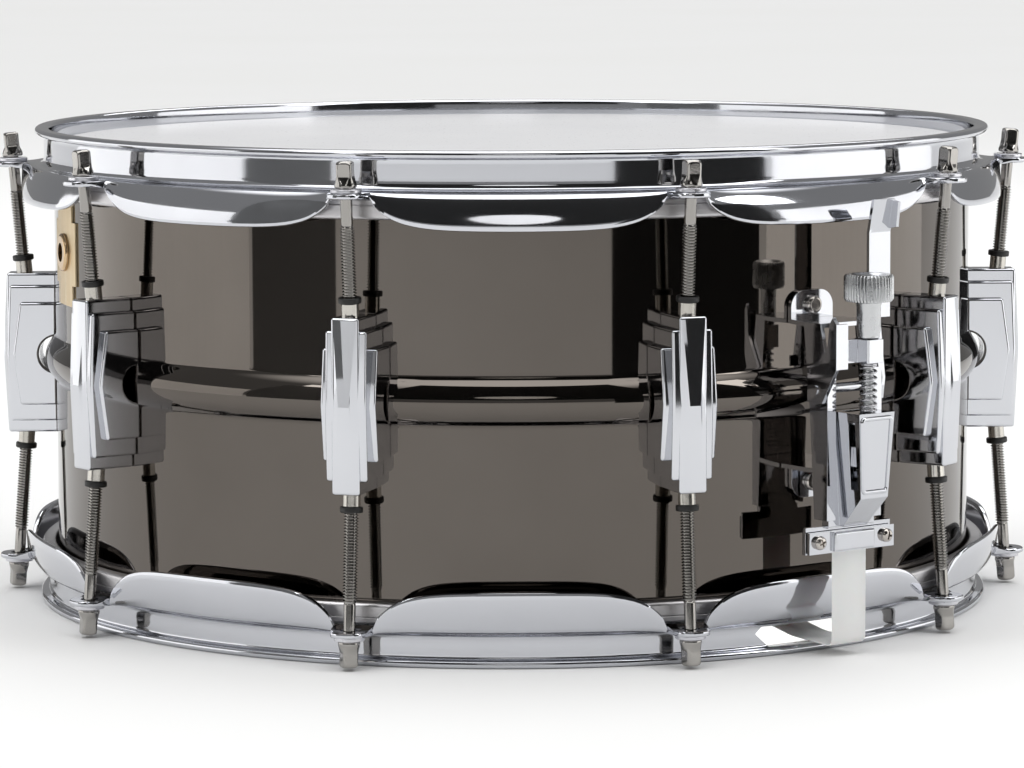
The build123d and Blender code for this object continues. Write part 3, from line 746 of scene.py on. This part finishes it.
knob_outline = [(0.0, knob_top - 0.9), (5.2, knob_top - 0.9), (6.4, knob_top - 0.2)]
knob_outline += [(7.4, knob_top), (8.2, knob_top - 0.1), (knob_radius, knob_top - 0.9)]
knob_outline += [(knob_radius, knob_foot + 1.0), (8.1, knob_foot + 0.1), (6.0, knob_foot - 0.1)]
knob_outline += [(4.6, knob_foot - 0.5), (4.3, knob_foot - 1.6), (4.3, middle + 24.2)]
knob_outline += [(3.9, middle + 23.2), (3.9, middle + 21.9), (3.2, stem_foot), (2.0, stem_foot)]
knob_centre = (0, -knob_axis)
knob = lathe(knob_outline, 252, knob_centre, knurl)
screw_outline = [(1.6, middle + 21.5), (1.6, middle - 27.4), (0.0, screw_tip)]
screw_core = lathe(screw_outline, 20, knob_centre)
screw_thread = helix_thread(middle + 21.0, screw_tip, 16)
thinner = Matrix.Diagonal((screw_share, screw_share, 1, 1))
to_knob = Matrix.Translation((0, -knob_axis, 0)) @ thinner
points, faces = joined(knob, screw_core, moved(screw_thread, to_knob))
knob_piece = mesh_piece("strainer_knob_turned", points, faces, knurled_chrome, 34, strainer_turn)
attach(knob_piece, "tension_screw")
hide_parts("strainer_knob")


def coil(radius, low, high, turns, steps, centre, flat):
    """A spring's path along z; so many turns at each end lie nearly flat."""
    steady = 0.04                 # the share of the rise that is spread over every turn
    path = []
    total = int(turns * steps)
    closed = flat / turns
    for k in range(total + 1):
        share = k / total
        eased = min(1.0, max(0.0, (share - closed) / (1 - 2 * closed)))
        angle = 2 * pi * k / steps
        x, y = centre[0] + radius * cos(angle), centre[1] + radius * sin(angle)
        risen = steady * share + (1 - steady) * eased
        path.append(Vector((x, y, low + (high - low) * risen)))
    return path


spring_low = middle - 4.0
spring_high = middle + 12.4
spring_radius = 2.75
spring_thickness = 0.9
spring_path = coil(spring_radius, spring_low, spring_high, 9, 24, knob_centre, 1)
points, faces = tube(spring_path, spring_thickness / 2, 8)
spring = mesh_piece("strainer_spring_coil", points, faces, spring_wire, 60, strainer_turn)
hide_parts("strainer_spring")
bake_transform(spring)


def rounded_path(corners, radius, steps):
    """A smooth line through straight runs, each corner eased by a curve of about that radius."""
    path = [Vector(corners[0])]
    for before, corner, after in zip(corners, corners[1:], corners[2:]):
        corner = Vector(corner)
        into = (Vector(before) - corner).normalized() * radius
        out = (Vector(after) - corner).normalized() * radius
        for k in range(steps + 1):
            share = k / steps
            path.append(corner + into * (1 - share) ** 2 + out * share**2)
    path.append(Vector(corners[-1]))
    return path


def divided(path, longest):
    """The same line with no step longer than this."""
    fine = [path[0]]
    for here, there in zip(path, path[1:]):
        count = max(1, int((there - here).length / longest))
        fine += [here.lerp(there, k / count) for k in range(1, count + 1)]
    return fine


strap_half = 8.0
strap_edge = 0.3              # half the strap's thickness, and its chamfer
strap_inner = middle - 85.35  # its level where it is held by the snares' end plate
strap_under = middle - 89.2   # and where it turns up through the hoop's gate
strap_start, strap_level_end, strap_dip = 148.5, 163.0, 178.0   # radii along its inner run
strap_bend = 3.0
strainer_plane, butt_plane = 200.0, 191.85
clamp_level = middle - 51.0
butt_strap_top = middle - 46.8


def strap_mesh(plane, top):
    """The strap's sheet at azimuth 0, from the snares' end plate to its clamp."""
    corners = [
        (-strap_start, strap_inner),
        (-strap_level_end, strap_inner),
        (-strap_dip, strap_under + 1.0),
        (-plane - strap_edge, strap_under),
        (-plane - strap_edge, top),
    ]
    path = divided(rounded_path(corners, strap_bend, 8), 3.0)
    flat = strap_half - strap_edge
    section = [(-strap_half, 0.0), (-flat, strap_edge), (flat, strap_edge)]
    section += [(strap_half, 0.0), (flat, -strap_edge), (-flat, -strap_edge)]
    points = []
    for k, here in enumerate(path):
        ahead = path[min(k + 1, len(path) - 1)] - path[max(k - 1, 0)]
        ahead.normalize()
        normal = Vector((-ahead[1], ahead[0]))
        for across, off in section:
            points.append((across, here[0] + normal[0] * off, here[1] + normal[1] * off))
    faces = grid_faces(len(path), len(section), False, True)
    faces.append(tuple(range(len(section))))
    faces.append(tuple(range(len(points) - len(section), len(points))))
    return points, faces


# the strainer's strap ends behind its clamp bar, low enough to clear the slider at its lowest
for name, azimuth, plane, top, partner in (
    ("strainer_strap", strainer_azimuth, strainer_plane, clamp_level, ("shell", "carriage")),
    ("butt_strap", butt_azimuth, butt_plane, butt_strap_top, ("snares", "shell")),
):
    points, faces = strap_mesh(plane, top)
    strap = mesh_piece(name + "_sheet", points, faces, strap_white, 50, turned_to(azimuth))
    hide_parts(name)
    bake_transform(strap)


# ---- cross-head clamp screws ----
screw_head, screw_rise = 2.5, 2.3
recess_depth = 1.1
recess_half = 0.36            # half the width of the cross's arms
clamp_screw_side = 15.6
clamp_front = 202.0


def cross_cutter(radius, rise):
    """A plus-shaped cutter, sunk into the top of a screw head."""
    arm, width = radius * 0.6, recess_half
    plus = [(-width, -arm), (width, -arm), (width, -width), (arm, -width), (arm, width)]
    plus += [(width, width), (width, arm), (-width, arm), (-width, width), (-arm, width)]
    plus += [(-arm, -width), (-width, -width)]
    return prism(plus, Matrix.Translation((0, 0, rise - recess_depth)), 2.0)


def pan_head(radius, rise):
    """A screw head with a short side and a domed top."""
    outline = [(0.0, 0.0), (radius, 0.0), (radius, rise * 0.35)]
    outline += [
        (radius * cos(radians(12 * k)) ** 0.6, rise * (0.35 + 0.65 * sin(radians(12 * k))))
        for k in range(1, 8)
    ]
    return lathe(outline + [(0.0, rise)], 48)


outwards = Matrix.Rotation(pi / 2, 4, "X")
screw_neck = [(0.0, -1.2), (1.4, -1.2), (1.4, 0.1), (0.0, 0.1)]
heads, recesses = [], []
for side, twist in ((-clamp_screw_side, 20), (clamp_screw_side, -12)):
    seat = Matrix.Translation((side, -clamp_front, clamp_level)) @ outwards
    seat = seat @ Matrix.Rotation(radians(twist), 4, "Z")
    heads.append(moved(pan_head(screw_head, screw_rise), seat))
    heads.append(moved(lathe(screw_neck, 24), seat))
    recesses.append(moved(cross_cutter(screw_head, screw_rise), seat))
points, faces = joined(*heads)
clamp_screws = mesh_piece("strap_clamp_cross_screws", points, faces, screw_nickel, 40)
cut(clamp_screws, recesses)
clamp_screws.matrix_world = strainer_turn
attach(clamp_screws, "shoe")
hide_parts("strap_clamp_screws")


# ---- slider front: a raised frame round its panel ----
slider_high = middle - 5.3
slider_low = middle - 34.0
frame_corner = 2.6
face_high, face_long = middle - 4.7, 30.3
face_reach, face_lean = 215.0, 1.2
side_high, side_long = middle - 3.7, 43.3
slider_half, slider_narrowing = 8.3, 2.7


def slider_front_at(height):
    """How far out the slider's sloping front face is at a height."""
    return face_reach - face_lean * (face_high - height) / face_long


def slider_half_at(height):
    """Half the slider's width, which narrows downwards."""
    return slider_half - slider_narrowing * (side_high - height) / side_long


def slider_loop(inset, rise):
    """A rounded outline on the slider's front, this far inside its edge and proud of its face."""
    radius = max(0.3, frame_corner - inset)
    widest = slider_half_at(slider_high)
    side = widest - inset - radius
    high = slider_high - inset - radius
    low = slider_low + inset + radius
    flat = arc((side, high), radius, 0, 90, 6) + arc((-side, high), radius, 90, 180, 6)
    flat += arc((-side, low), radius, 180, 270, 6) + arc((side, low), radius, 270, 360, 6)
    return [
        (across * slider_half_at(height) / widest, -(slider_front_at(height) + rise), height)
        for across, height in flat
    ]


# the frame's section: how far inside the slider's edge, and how far proud of its face
frame_loops = [(0.4, -0.3), (0.5, 0.4), (0.8, 0.7), (1.7, 0.7), (2.0, 0.4), (2.1, -0.3)]
points = [point for inset, rise in frame_loops for point in slider_loop(inset, rise)]
faces = grid_faces(len(frame_loops), len(points) // len(frame_loops), True, True)
slider_frame = mesh_piece(
    "strainer_slider_frame", points, faces, strainer_chrome, 50, strainer_turn
)
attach(slider_frame, "shoe")

# ---- snares: coiled wires between the end plates ----
wire_count = 20
wire_spacing = 2.6
wire_level = middle - 84.3
wire_coil = 0.78
wire_radius = 0.2
wire_half = 146.0
wire_turns = 190
wire_path = coil(wire_coil, -wire_half, wire_half, wire_turns, 7, (0, 0), 0)
wires = []
for number in range(wire_count):
    across = (number - (wire_count - 1) / 2) * wire_spacing
    lay = Matrix.Translation((across, 0, wire_level)) @ Matrix.Rotation(pi / 2, 4, "X")
    wires.append(moved(tube(wire_path, wire_radius, 3), lay))
points, faces = joined(*wires)
snare_wires = mesh_piece("snare_wire_coils", points, faces, snare_wire, 80, strainer_turn)
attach(snare_wires, "snares")
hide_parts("snare_wires")

# ---- lugs: three stepped layers with softened edges, open round the shell's bead ----
# each layer's half width, half height, reach at its ends and its middle, and half its ridge
lug_layers = (
    (5.15, 31.2, 197.0, 198.8, 2.0),
    (7.6, 26.5, 195.9, 197.0, None),
    (10.2, 20.0, 191.7, 194.5, None),
)
lug_root = shell_radius - 0.2
lug_gap = 6.9                 # radius of the opening round the bead
lug_edge = 1.0
lug_steep = 45                # edges that turn more than this are rounded, degrees
opening_face = 2e-5           # square metres; only the faces round the opening are smaller


def lug_layer(half_width, half_height, end_reach, middle_reach, ridge):
    """One closed layer; with a ridge its front has four facets that meet there."""
    side = [(lug_root, -half_height), (end_reach, -half_height)]
    if not ridge:
        side.append((middle_reach, 0.0))
    side += [(end_reach, half_height), (lug_root, half_height)]
    side += arc((lug_root, 0.0), lug_gap, 90, -90, 20)
    count = len(side)
    points = [(x, -reach, middle + rel) for x in (-half_width, half_width) for reach, rel in side]
    faces = [tuple(range(count)), tuple(range(count, 2 * count))]
    for k in range(count):
        beside = (k + 1) % count
        if not (ridge and k == 1):
            faces.append((k, beside, count + beside, count + k))
    if ridge:
        left, right = len(points), len(points) + 1
        points += [(-ridge, -middle_reach, middle), (ridge, -middle_reach, middle)]
        faces += [(1, count + 1, right, left), (2, count + 2, right, left)]
        faces += [(1, 2, left), (count + 1, count + 2, right)]
    return points, faces


def soften_lug(piece, width, steep):
    """Rounds a lug's steep edges, keeps its shallow creases crisp and its flats flat."""
    work = bmesh.new()
    work.from_mesh(piece.data)
    edges = [edge for edge in work.edges if edge.calc_face_angle(0.0) > radians(steep)]
    rounded = bmesh.ops.bevel(
        work, geom=edges, offset=width * MM, segments=4, profile=0.5, affect="EDGES"
    )
    new = set(rounded["faces"])
    for face in work.faces:
        face.smooth = True
    for edge in work.edges:
        rounded_here = any(face in new for face in edge.link_faces)
        nearly_flat = edge.calc_face_angle(0.0) < radians(1)
        small = [face for face in edge.link_faces if face.calc_area() < opening_face]
        in_opening = len([face for face in small if face not in new]) == 2
        edge.smooth = rounded_here or nearly_flat or in_opening
    work.to_mesh(piece.data)
    work.free()
    weigh = piece.modifiers.new("normals", "WEIGHTED_NORMAL")
    weigh.keep_sharp = True
    weigh.weight = 100
    bpy.context.view_layer.update()
    shape = bpy.data.meshes.new_from_object(
        piece.evaluated_get(bpy.context.evaluated_depsgraph_get())
    )
    piece.modifiers.remove(weigh)
    piece.data = shape


points, faces = joined(*(lug_layer(*layer) for layer in lug_layers))
lug = mesh_piece("lug_01_casting", points, faces, lug_chrome, 1)
soften_lug(lug, lug_edge, lug_steep)
lug_shape = lug.data
for number, lug_azimuth in enumerate(lug_azimuths):
    if number:
        lug = bpy.data.objects.new(f"lug_{number + 1:02d}_casting", lug_shape)
        scene.collection.objects.link(lug)
    lug.matrix_world = turned_to(lug_azimuth)
    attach(lug, "shell")
    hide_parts(f"lug_{number + 1:02d}")

# ---- CAD nodes that stay: softened edges and finished materials ----
weld_distance = 1e-6          # metres
flat_within = 0.8             # degrees: triangles this level with each other become one face
soften_over = 24              # degrees
finishes = {                  # each node's material, and the width of its edges' bevel in mm
    "badge": (badge_brass, 0.15),
    "vent_grommet": (grommet_brass, 0),
    "batter_washers": (washer_zinc, 0.35),
    "snare_washers": (washer_zinc, 0.35),
    "swivel_nuts": (nut_nickel, 0.3),
    "nylon_rings": (nylon, 0.55),
    "lug_springs": (inner_steel, 0),
    "lug_screws": (inner_steel, 0),
    "strainer_base": (strainer_chrome, 0.3),
    "strainer_lever": (strainer_chrome, 0.25),
    "strainer_block": (strainer_chrome, 0.4),
    "strainer_slider": (strainer_chrome, 0.35),
    "strap_clamp": (strainer_chrome, 0.35),
    "butt_plate": (strainer_chrome, 0.35),
    "butt_clamp": (strainer_chrome, 0.35),
    "bracket_screws": (screw_nickel, 0.15),
    "snare_end_plates": (end_plate_steel, 0.3),
}
for name, (material, edge) in finishes.items():
    node = nodes[name]
    node.data.materials[0] = material
    if edge:
        weld = node.modifiers.new("weld", "WELD")
        weld.merge_threshold = weld_distance
        flats = node.modifiers.new("flats", "DECIMATE")
        flats.decimate_type = "DISSOLVE"
        flats.angle_limit = radians(flat_within)
        soften = node.modifiers.new("soften", "BEVEL")
        soften.width = edge * MM
        soften.segments = 3
        soften.limit_method = "ANGLE"
        soften.angle_limit = radians(soften_over)
        soften.use_clamp_overlap = True
        soften.harden_normals = False
        normals = node.modifiers.new("normals", "WEIGHTED_NORMAL")
        normals.keep_sharp = False
        normals.weight = 60


# ---- floor, lights and camera ----
def stage_mesh(name, points, faces, material):
    mesh = bpy.data.meshes.new(name)
    mesh.from_pydata(points, [], faces)
    mesh.materials.append(material)
    thing = bpy.data.objects.new(name, mesh)
    scene.collection.objects.link(thing)
    return thing


def matt(name, shade):
    """Paper or cloth of one grey, a little uneven."""
    recipe = Recipe(name, Roughness=0.9)
    other = (shade * 0.97, shade * 0.97, shade * 0.96)
    recipe.tint(recipe.noise(1.5, 2), (shade, shade, shade), other)
    return recipe.material


floor_half = 30.0             # metres, like every length from here on
floor_corners = [
    (-floor_half, -floor_half, 0),
    (floor_half, -floor_half, 0),
    (floor_half, floor_half, 0),
    (-floor_half, floor_half, 0),
]
stage_mesh("floor", floor_corners, [(0, 1, 2, 3)], matt("floor_pale_paper", 0.86))


def glowing(name, strength):
    """A lit white cloth, a little uneven."""
    recipe = Recipe(name, Roughness=0.9)
    recipe.tint(recipe.noise(1.2, 2), (0.8, 0.8, 0.8), (0.7, 0.7, 0.7))
    recipe.shader.inputs["Emission Color"].default_value = (1.0, 0.99, 0.97, 1)
    glow = recipe.ranged(recipe.noise(1.6, 2), strength * 0.8, strength * 1.15)
    recipe.tree.links.new(glow, recipe.shader.inputs["Emission Strength"])
    return recipe.material


def only_reflected(thing):
    """Shows in the metal, but neither to the camera nor as light or shadow on the floor."""
    thing.visible_camera = False
    thing.visible_diffuse = False
    thing.visible_shadow = False


def card(name, start, end, distance, low, high, material):
    """A curved studio card round the drum, between two azimuths, that only shows in reflections."""
    steps = 24
    points = []
    for k in range(steps + 1):
        for height in (low, high):
            points.append(spot(start + (end - start) * k / steps, distance, height))
    faces = [(2 * k, 2 * k + 1, 2 * k + 3, 2 * k + 2) for k in range(steps)]
    only_reflected(stage_mesh(name, points, faces, material))


# black and grey flags darken stretches of the shell and the lobes; lit cards brighten its sides
card_foot = 0.001
black_cloth = matt("flag_black_cloth", 0.01)
card("flag_right", 21, 56, 0.95, card_foot, 1.0, black_cloth)
card("flag_above", -32, 32, 0.90, 0.25, 1.55, black_cloth)

# a lamp in front of the upper flag puts a round highlight on the middle lobe
lamp_half_angle, lamp_half_height = 9, 0.075
lamp_distance, lamp_height = 0.88, 0.40
lamp_rim = [
    spot(
        lamp_half_angle * cos(radians(12 * k)),
        lamp_distance,
        lamp_height + lamp_half_height * sin(radians(12 * k)),
    )
    for k in range(30)
]
lamp = stage_mesh("lamp_above", lamp_rim, [tuple(range(30))], glowing("lamp_above_cloth", 0.8))
only_reflected(lamp)
card("flag_left", -61, -40, 1.0, card_foot, 0.9, matt("flag_grey_cloth", 0.16))
card("card_right", 58, 112, 0.97, card_foot, 0.42, glowing("card_right_cloth", 0.95))
card("card_left", -122, -62, 1.02, card_foot, 0.42, glowing("card_left_cloth", 0.9))

# a glowing paper disc on the floor under the drum paints light where the drum's shadow falls, so
# that the floor shows white through the hoop's gates
painted_light_radius, painted_light_level = 0.166, 0.0005
painted_light_paper = [spot(7.5 * k, painted_light_radius, painted_light_level) for k in range(48)]
under = stage_mesh("floor_painted_light_paper", painted_light_paper, [tuple(range(48))], glowing("painted_light_paper", 0.9))
under.visible_shadow = False

light_aim = (0, 0, 0.09)


def softbox(name, place, size, power):
    light = bpy.data.lights.new(name, "AREA")
    light.shape = "RECTANGLE"
    light.size, light.size_y = size
    light.energy = power
    holder = bpy.data.objects.new(name, light)
    scene.collection.objects.link(holder)
    holder.location = place
    facing = Vector(light_aim) - Vector(place)
    holder.rotation_euler = facing.to_track_quat("-Z", "Y").to_euler()
    holder.visible_camera = False


softbox("softbox_left", (-1.5, -1.3, 1.5), (0.7, 1.0), 10)
softbox("softbox_right", (1.6, -0.9, 1.5), (0.6, 1.0), 9)
softbox("softbox_back", (0.3, 2.0, 1.7), (1.4, 0.7), 10)

# A bright ceiling over a darker room: the floor is evenly lit and plated metal keeps its contrast.
ceiling_glow = 2.55
room_glow = 0.26
ceiling_starts, ceiling_full = 0.74, 0.90     # sines of the height above the horizon
world = bpy.data.worlds.new("studio")
world.use_nodes = True
tree = world.node_tree
direction = tree.nodes.new("ShaderNodeTexCoord").outputs["Generated"]
upwards = tree.nodes.new("ShaderNodeSeparateXYZ")
tree.links.new(direction, upwards.inputs["Vector"])
glow = tree.nodes.new("ShaderNodeMapRange")
glow.interpolation_type = "SMOOTHSTEP"
for socket, value in (
    ("From Min", ceiling_starts),
    ("From Max", ceiling_full),
    ("To Min", room_glow),
    ("To Max", ceiling_glow),
):
    glow.inputs[socket].default_value = value
tree.links.new(upwards.outputs["Z"], glow.inputs["Value"])
tree.links.new(glow.outputs["Result"], tree.nodes["Background"].inputs["Strength"])
tree.nodes["Background"].inputs["Color"].default_value = (1.0, 1.0, 1.0, 1)
scene.world = world
scene.view_settings.view_transform = "Standard"

camera_azimuth = -0.766       # degrees
camera_distance = 1.67318
camera_rise = 0.18024         # above the shell's middle
camera_pitch = 0.1080         # radians
camera_roll = -0.0034
lens = bpy.data.cameras.new("camera")
lens.lens = 150.77
lens.sensor_width = 36.0
lens.shift_y = -0.0314
lens.clip_start = 0.05
lens.clip_end = 100.0
camera = bpy.data.objects.new("camera", lens)
scene.collection.objects.link(camera)
camera.matrix_world = (
    Matrix.Translation(spot(camera_azimuth, camera_distance, camera_rise + middle * MM))
    @ turned_to(camera_azimuth)
    @ Matrix.Rotation(pi / 2 - camera_pitch, 4, "X")
    @ Matrix.Rotation(camera_roll, 4, "Z")
)
scene.camera = camera
